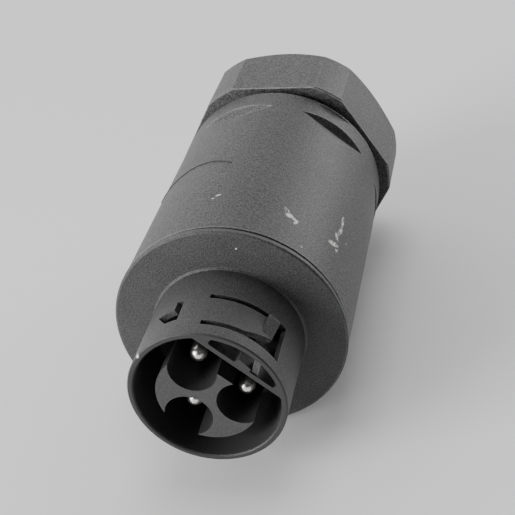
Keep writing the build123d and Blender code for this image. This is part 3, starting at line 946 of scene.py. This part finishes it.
# Clock angle, station, half width, half length, lean and tear of each scuff on the rear housing
BODY_SCUFFS = (
    Scuff(31.2, 24.3, 0.75, 0.65, 0.0, 0.36),
    Scuff(29.6, 25.2, 0.4, 1.1, 35.0, 0.43),
    Scuff(33.5, 24.1, 0.4, 1.3, 60.0, 0.42),
    Scuff(35.2, 23.5, 0.35, 0.8, -20.0, 0.41),
    Scuff(60.8, 32.8, 0.4, 1.7, 5.0, 0.43),
    Scuff(60.6, 30.0, 0.45, 1.5, -12.0, 0.43),
    Scuff(59.4, 27.9, 0.45, 1.2, 20.0, 0.42),
    Scuff(58.2, 25.7, 1.5, 0.6, 35.0, 0.39),
    Scuff(61.0, 25.3, 0.4, 0.9, 10.0, 0.43),
    Scuff(-5.4, 26.0, 0.6, 0.2, 25.0, 0.2),
    Scuff(-7.6, 25.2, 0.3, 0.15, 0.0, 0.3),
    Scuff(66.9, 29.3, 0.15, 0.15, 0.0, 0.1),
    Scuff(41.4, 18.7, 0.17, 0.15, 0.0, 0.1),
)

# The nicks on the flange's face and on the sleeve's rim, with their radius last
FACE_NICKS = (
    Scuff(11.1, 15.5, 0.16, 0.16, 0.0, 0.1, 15.4, on_face=True),
    Scuff(-50.5, 0.2, 0.35, 0.3, 0.0, 0.2, 11.5, on_face=True),
)

BODY_FINISH = MouldedPlastic(
    "housing_plastic",
    grey(0.0),
    (0.094, 0.094, 0.0953),
    # Lighter edge lines: partly wear, partly painted highlight
    edge_width=0.0004,
    edge_shade=0.3,
    # Painted shadow: the housing's front face, in the gap behind the flange, made near black
    painted_shades=(PaintedShade(18.2, 16.5, 17.0, 0.001),),
    scuffs=BODY_SCUFFS,
)
SLEEVE_FINISH = MouldedPlastic(
    "sleeve_plastic",
    (0.012, 0.012, 0.0122),
    (0.076, 0.076, 0.0773),
    grain=4600.0,
    # Lighter edge lines: partly wear, partly painted highlight
    edge_width=0.00015,
    edge_shade=0.13,
    painted_shades=(
        # Painted shade: the rim's front face made darker
        PaintedShade(12.4, -1.0, 0.3, 0.024),
        # Painted shade: the sleeve's inner wall, clear of the key wall, made a flat dark tone
        PaintedShade(10.9, 0.35, 15.4, 0.04, wall_height=8.2),
        # Painted shadow: the flange's back face and the collar, in the gap before the rear housing, made
        # near black
        PaintedShade(17.75, 16.36, 40.0, 0.001),
    ),
    scuffs=FACE_NICKS,
)
NUT_FINISH = MouldedPlastic(
    "nut_plastic",
    grey(0.0),
    (0.11, 0.11, 0.1115),
    # Lighter edge lines: partly wear, partly painted highlight
    edge_width=0.0004,
    edge_shade=0.4,
)
INSERT_FINISH = MouldedPlastic(
    "insert_plastic",
    grey(0.03),
    grey(0.055),
    grain=4000.0,
    # Painted shade: everything within 12 mm of the axis and 0.7 mm behind the rim made darker, as in the
    # wells
    painted_shades=(PaintedShade(12.0, 0.7, 30.0, 0.03),),
)
RUBBER_FINISH = MouldedPlastic("seal_rubber", grey(0.018), grey(0.03), roughness=0.7, grain=1500.0)
CONTACT_FINISH = PlatedMetal("contact_metal", (0.92, 0.91, 0.88), (0.74, 0.72, 0.68), roughness=0.28)
STEEL_FINISH = PlatedMetal("screw_steel", (0.62, 0.62, 0.63), (0.4, 0.4, 0.41), roughness=0.35)
FINISHES = (
    BODY_FINISH,
    SLEEVE_FINISH,
    NUT_FINISH,
    INSERT_FINISH,
    RUBBER_FINISH,
    CONTACT_FINISH,
    STEEL_FINISH,
)


@dataclass
class MatingEnd:
    """The front housing, the insert and its seals."""

    mouldings: tuple[str, ...] = ("front_housing",)
    inserts: tuple[str, ...] = ("contact_insert",)
    seals: tuple[str, ...] = ("insert_seal", "housing_seal")

    def build(self, finishes: Finishes) -> None:
        """Dress the mating end.

        Args:
            finishes: the materials by name.
        """
        for node in self.mouldings:
            dress(node, finishes["sleeve_plastic"])
        for node in self.inserts:
            dress(node, finishes["insert_plastic"])
        for node in self.seals:
            dress(node, finishes["seal_rubber"])


@dataclass
class Terminals:
    """The contacts with their screws and plates, and what holds them."""

    blocks: tuple[str, ...] = ("terminal_carrier", "wire_guide")
    poles: tuple[str, ...] = ("earth", "line", "neutral")

    def build(self, finishes: Finishes) -> None:
        """Dress the terminals.

        Args:
            finishes: the materials by name.
        """
        for node in self.blocks:
            dress(node, finishes["insert_plastic"])
        dress("insert_clip", finishes["screw_steel"])
        for pole in self.poles:
            dress(f"contact_{pole}", finishes["contact_metal"])
            dress(f"clamp_plate_{pole}", finishes["screw_steel"])
            dress(f"terminal_screw_{pole}", finishes["screw_steel"])


@dataclass(frozen=True)
class Thread:
    """The ridge of a screw thread, on the outside or the inside of a round wall.

    Lengths are in mm. It starts at a station and is sunk a little into its wall.
    """

    name: str
    body: str
    wall_radius: float
    start: float
    turns: float
    outside: bool
    pitch: float = 1.5
    height: float = 0.42
    sunk: float = 0.02
    root_width: float = 1.0
    crest_width: float = 0.25

    def build(self, tree: bpy.types.NodeTree, finish: bpy.types.Material) -> bpy.types.Object:
        """Grow the ridge.

        Args:
            tree: the ridge tree.
            finish: its material.

        Returns:
            The piece.
        """
        rise = self.height / 2 - self.sunk
        outer, inner = self.crest_width, self.root_width
        if not self.outside:
            rise, outer, inner = -rise, inner, outer
        sizes = {
            "Radius": (self.wall_radius + rise) * MM,
            "Pitch": self.pitch * MM,
            "Turns": self.turns,
            "Height": self.height * MM,
            "Outer Width": outer * MM,
            "Inner Width": inner * MM,
            "Start": (0.0, along_axis(self.start), AXIS_Z),
            "Material": finish,
        }
        return grow(self.name, bpy.data.meshes.new(self.name + "_seed"), tree, sizes)


@dataclass(frozen=True)
class Bead:
    """The fine bead across the housing's upper left.

    Its path is clock angles in degrees and stations in mm, and its radii are in mm.
    """

    name: str = "moulded_bead"
    body: str = "housing"
    radius: float = 0.12
    surface: float = 17.85
    path: tuple[tuple[float, float], ...] = (
        (-60.0, 38.3),
        (-46.0, 38.3),
        (-28.0, 38.3),
        (-17.0, 37.7),
        (-10.0, 36.8),
        (-6.0, 36.0),
    )

    def points(self) -> list[Vector]:
        """Follow the path along the round surface, with a point for each degree.

        Returns:
            The points.
        """
        points = []
        for (clock, station), (clock_to, station_to) in zip(self.path, self.path[1:]):
            steps = max(1, round(abs(clock_to - clock)))
            for share in (i / steps for i in range(steps)):
                turn = clock + share * (clock_to - clock)
                along = station + share * (station_to - station)
                points.append(on_surface(turn, along, self.surface))
        return points + [on_surface(*self.path[-1], self.surface)]

    def build(self, tree: bpy.types.NodeTree, finish: bpy.types.Material) -> bpy.types.Object:
        """Grow the bead.

        Args:
            tree: the bead tree.
            finish: its material.

        Returns:
            The piece.
        """
        points = self.points()
        seed = bpy.data.meshes.new(self.name + "_seed")
        seed.from_pydata(points, [(i, i + 1) for i in range(len(points) - 1)], [])
        return grow(self.name, seed, tree, {"Radius": self.radius * MM, "Material": finish})


@dataclass
class RearBody:
    """The rear housing with its bead, and the cable gland with its threads."""

    threads: tuple[Thread, ...] = (
        Thread("gland_thread", "housing", wall_radius=14.4, start=61.6, turns=5.0, outside=True),
        Thread("nut_thread", "nut", wall_radius=14.45, start=63.85, turns=4.0, outside=False),
    )
    bead: Bead = Bead()

    def build(self, finishes: Finishes) -> None:
        """Dress the rear housing, the clamping cage, the bush and the nut, and add what they carry.

        Args:
            finishes: the materials by name.
        """
        dress("rear_housing", finishes["housing_plastic"])
        dress("gland_nut", finishes["nut_plastic"])
        dress("clamping_cage", finishes["insert_plastic"])
        dress("cable_seal", finishes["seal_rubber"])
        ridges = build_ridge_tree()
        grown = [(thread.build(ridges, finishes["nut_plastic"]), thread.body) for thread in self.threads]
        grown.append((self.bead.build(build_bead_tree(), finishes["seal_rubber"]), self.bead.body))
        for piece, body in grown:
            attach(piece, body)


def main() -> None:
    """Build the stage, the finishes and each sub-assembly."""
    logging.basicConfig(level=logging.INFO, format="%(message)s")
    Stage(LIGHTS, TENT, LIGHTS_AIM).build()
    groups = {
        "moulded_grain": build_grain_group(),
        "painted_recess_shade": build_painted_shade_group(),
        "worn_and_highlit_edges": build_edge_group(),
        "scuff_patch": build_scuff_group(),
    }
    finishes = {finish.name: finish.build(groups) for finish in FINISHES}
    for assembly in (MatingEnd(), Terminals(), RearBody()):
        assembly.build(finishes)
        LOG.info("dressed %s", type(assembly).__name__)


if __name__ == "__main__":
    main()
